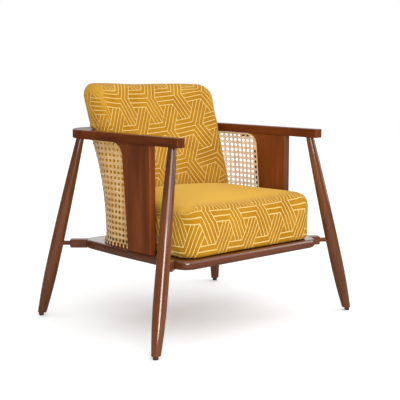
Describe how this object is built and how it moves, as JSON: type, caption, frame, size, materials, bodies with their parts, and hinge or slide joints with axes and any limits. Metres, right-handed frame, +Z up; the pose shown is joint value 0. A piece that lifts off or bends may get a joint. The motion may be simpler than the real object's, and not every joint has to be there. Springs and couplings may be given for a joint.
{
  "type": "accent chair",
  "caption": "Low lounge armchair with splayed turned legs, a horseshoe arm rail, a flared cane barrel round the sides and back, and upholstered seat and back cushions.",
  "frame": {"origin": "on the floor under the middle of the chair's overall box", "axes": "+Z up, -Y towards the front of the seat, +X to the right as seen from the front"},
  "size_m": [0.7896, 0.6032, 0.6973],
  "materials": {
    "walnut": "glossy clear lacquer over a reddish walnut stain",
    "dowel": "raw beech",
    "plywood": "raw plywood",
    "cane": "natural woven cane, satin",
    "fabric": "mustard upholstery cloth with a cream line pattern",
    "glide": "dark nylon"
  },
  "bodies": {
    "root": {"leg_front_right": "walnut", "leg_front_left": "walnut", "leg_rear_right": "walnut", "leg_rear_left": "walnut", "side_panel_right": "walnut", "side_panel_left": "walnut", "arm_right": "walnut", "arm_left": "walnut", "back_rail": "walnut", "corner_block_front_right": "walnut", "corner_block_front_left": "walnut", "corner_block_rear_right": "walnut", "corner_block_rear_left": "walnut", "front_rail": "walnut", "rear_rail": "walnut", "side_rail_right": "walnut", "side_rail_left": "walnut", "cane_base_rail": "walnut", "rail_dowels": "dowel", "block_dowels": "dowel", "seat_panel": "plywood", "back_board": "plywood", "cane_panel": "cane", "seat_cushion": "fabric", "back_cushion": "fabric", "glide_front_right": "glide", "glide_front_left": "glide", "glide_rear_right": "glide", "glide_rear_left": "glide"}
  },
  "joints": []
}
